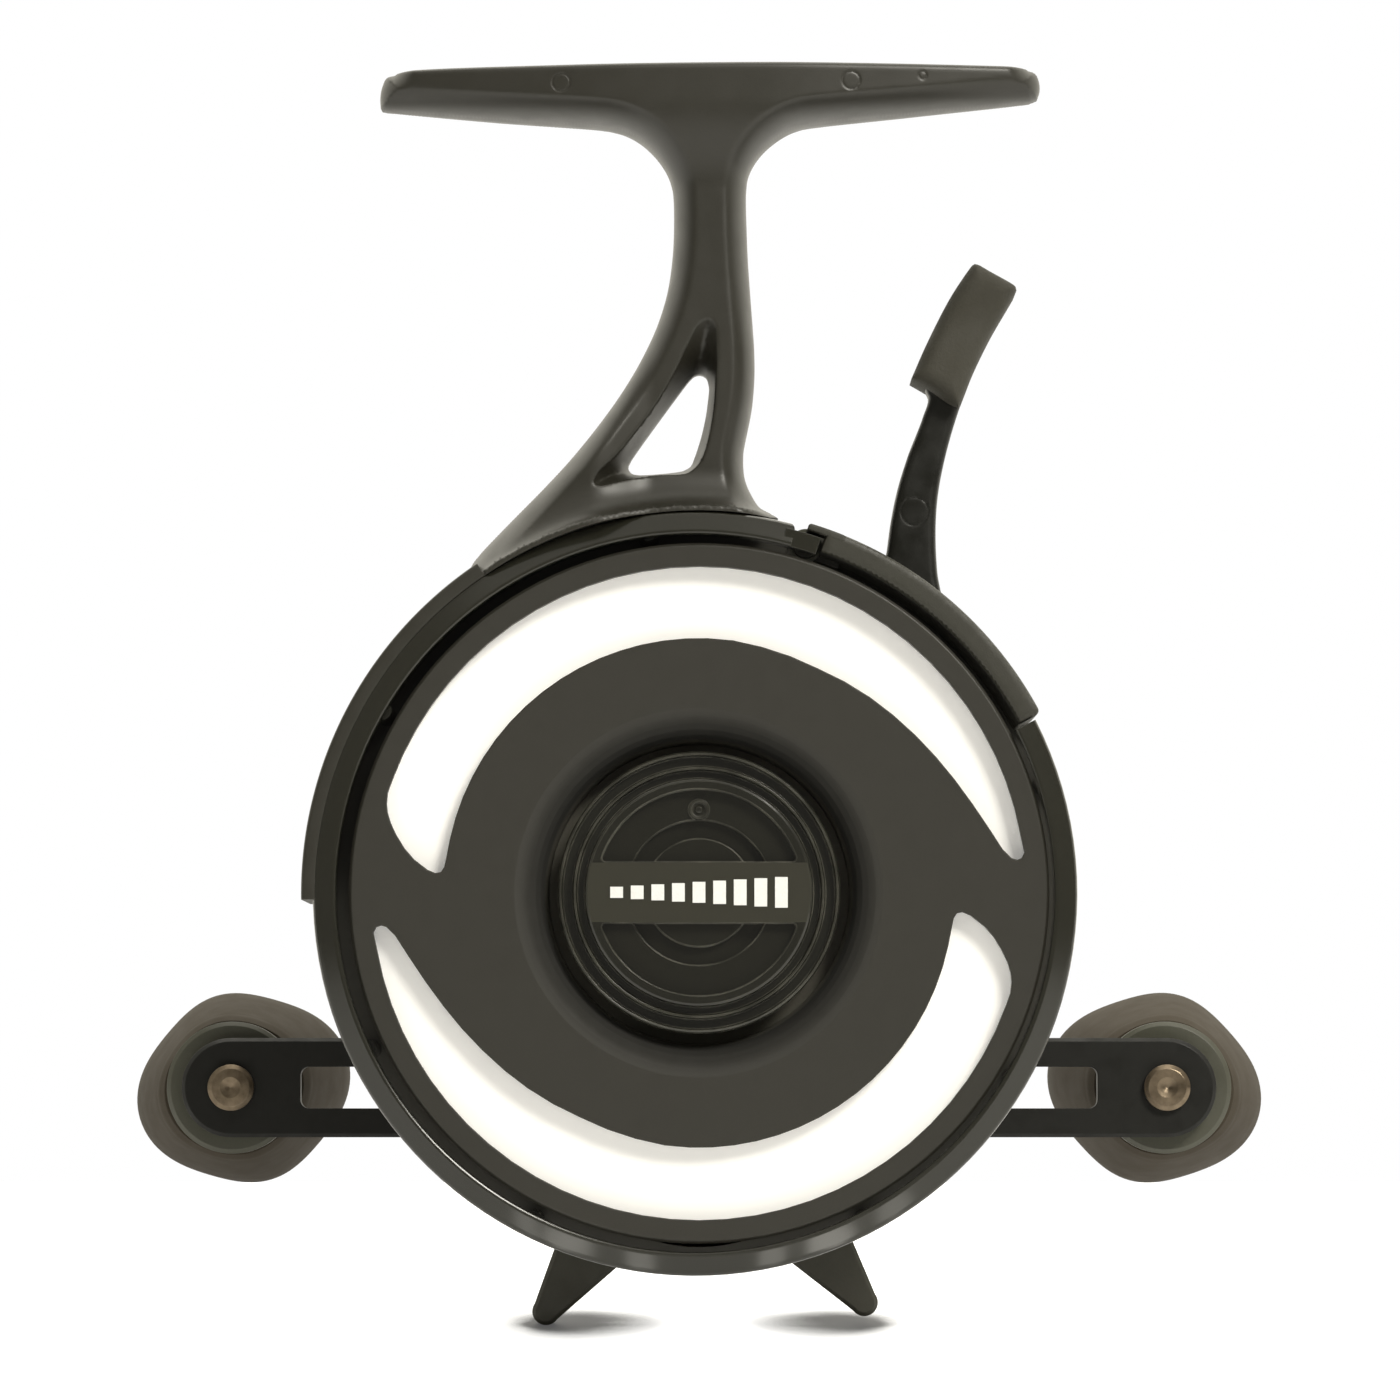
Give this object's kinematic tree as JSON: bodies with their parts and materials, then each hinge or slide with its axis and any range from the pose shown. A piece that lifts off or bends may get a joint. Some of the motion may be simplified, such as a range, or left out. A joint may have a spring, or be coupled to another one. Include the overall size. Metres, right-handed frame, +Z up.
{
  "type": "fly reel",
  "caption": "Geared inline fishing reel: slim foot and stem, ported spool in a rim ring, drop-speed dial, free-fall trigger, star drag, double handle with paddle knobs.",
  "frame": {"origin": "on the rod-seat face of the foot, directly above the spool axis", "axes": "+Z up through the foot towards the rod, +X along the foot to the right seen from the spool side, +Y from the spool face towards the handle; spool and crank axes run along Y"},
  "size_m": [0.1098, 0.0706, 0.1148],
  "materials": {
    "matte_black": "fine matte moulded composite",
    "satin_black": "satin black coating",
    "gloss_black": "gloss black coating",
    "dial_black": "semi-gloss moulded",
    "white": "white gloss",
    "white_print": "white pad print",
    "rubber_grey": "soft-touch rubber",
    "knob_taupe": "soft-touch coating",
    "steel": "stainless",
    "nickel": "nickel-plated, satin",
    "brass": "machined brass",
    "aluminium": "turned aluminium",
    "carbon": "carbon-fibre drag material",
    "magnet": "nickel-plated magnet",
    "bushing": "acetal",
    "dark_metal": "dark anodised"
  },
  "bodies": {
    "reel_frame": {"frame": "matte_black", "rim_ring": "gloss_black", "rim_ring_screws": "steel", "gear_plate": "aluminium", "gear_plate_screws": "steel", "spool_post": "steel", "dial_clip": "steel", "yoke_posts": "steel", "yoke_springs": "steel", "anti_reverse_bearing": "steel", "crank_bearing_inner": "steel", "crank_bearing_outer": "steel", "trigger_pivot_pin": "steel", "trigger_spring": "dark_metal"},
    "trigger": {"trigger_lever": "matte_black", "trigger_pad": "rubber_grey"},
    "cam": {"clutch_cam": "bushing"},
    "yoke": {"clutch_yoke": "steel"},
    "pinion": {"pinion_gear": "brass"},
    "spool": {"spool_face": "satin_black", "spool_flange_front": "white", "spool_drum": "aluminium", "spool_flange_rear": "satin_black", "spool_screws": "steel", "spool_brake_disc": "aluminium", "spool_bearing_front": "steel", "spool_bearing_rear": "steel"},
    "dial": {"drop_dial": "dial_black", "dial_marks": "white_print"},
    "magnets": {"magnet_carrier": "bushing", "drag_magnets": "magnet"},
    "crank": {"crank_shaft": "steel", "main_gear": "brass", "drag_washers": "carbon", "pressure_washer": "steel", "drag_spring_washers": "steel", "anti_reverse_sleeve": "steel", "handle_spacer": "steel", "handle_arm": "satin_black", "handle_nut": "nickel", "nut_retainer": "satin_black", "retainer_screw": "steel", "knob_post_left": "nickel", "knob_post_right": "nickel", "knob_collar_left": "dark_metal", "knob_collar_right": "dark_metal", "knob_screw_left": "steel", "knob_screw_right": "steel"},
    "star": {"drag_star": "matte_black", "star_nut": "brass"},
    "knob_left": {"knob_grip_left": "knob_taupe", "knob_bushings_left": "bushing", "knob_cap_left": "satin_black"},
    "knob_right": {"knob_grip_right": "knob_taupe", "knob_bushings_right": "bushing", "knob_cap_right": "satin_black"}
  },
  "joints": [
    {"name": "crank_turn", "type": "hinge", "parent": "reel_frame", "child": "crank", "pos_m": [0, 0, -0.0925], "axis": [0, 1, 0], "continuous": true},
    {"name": "spool_spin", "type": "hinge", "parent": "reel_frame", "child": "spool", "pos_m": [0, 0, -0.075], "axis": [0, 1, 0], "continuous": true},
    {"name": "pinion_spin", "type": "hinge", "parent": "yoke", "child": "pinion", "pos_m": [0, 0, -0.075], "axis": [0, 1, 0], "continuous": true},
    {"name": "yoke_slide", "type": "slide", "parent": "reel_frame", "child": "yoke", "axis": [0, 1, 0], "range_m": [0, 0.0015], "deforming": ["yoke_springs"]},
    {"name": "clutch_cam_turn", "type": "hinge", "parent": "reel_frame", "child": "cam", "pos_m": [0, 0, -0.075], "axis": [0, 1, 0], "range_deg": [0, 14]},
    {"name": "trigger_pull", "type": "hinge", "parent": "reel_frame", "child": "trigger", "pos_m": [0.00965, 0, -0.04344], "axis": [0, -1, 0], "range_deg": [0, 8], "stiffness_Nm_per_rad": 0.12, "springref_deg": -14.32, "deforming": ["trigger_spring"]},
    {"name": "dial_turn", "type": "hinge", "parent": "reel_frame", "child": "dial", "pos_m": [0, 0, -0.075], "axis": [0, 1, 0], "range_deg": [0, 150]},
    {"name": "magnet_slide", "type": "slide", "parent": "reel_frame", "child": "magnets", "axis": [0, 1, 0], "range_m": [0, 0.00101]},
    {"name": "star_turn", "type": "hinge", "parent": "crank", "child": "star", "pos_m": [0, 0, -0.0925], "axis": [0, 1, 0], "range_deg": [-30, 270]},
    {"name": "knob_left_spin", "type": "hinge", "parent": "crank", "child": "knob_left", "pos_m": [-0.0445, 0, -0.0925], "axis": [0, 1, 0], "continuous": true},
    {"name": "knob_right_spin", "type": "hinge", "parent": "crank", "child": "knob_right", "pos_m": [0.0445, 0, -0.0925], "axis": [0, 1, 0], "continuous": true}
  ],
  "couplings": [
    {"joint": "pinion_spin", "follows": "crank_turn", "ratio": -2.5},
    {"joint": "spool_spin", "follows": "crank_turn", "ratio": -2.5},
    {"joint": "clutch_cam_turn", "follows": "trigger_pull", "ratio": 1.6812},
    {"joint": "yoke_slide", "follows": "trigger_pull", "m_per_rad": 0.010732},
    {"joint": "magnet_slide", "follows": "dial_turn", "m_per_rad": 0.00038197}
  ]
}
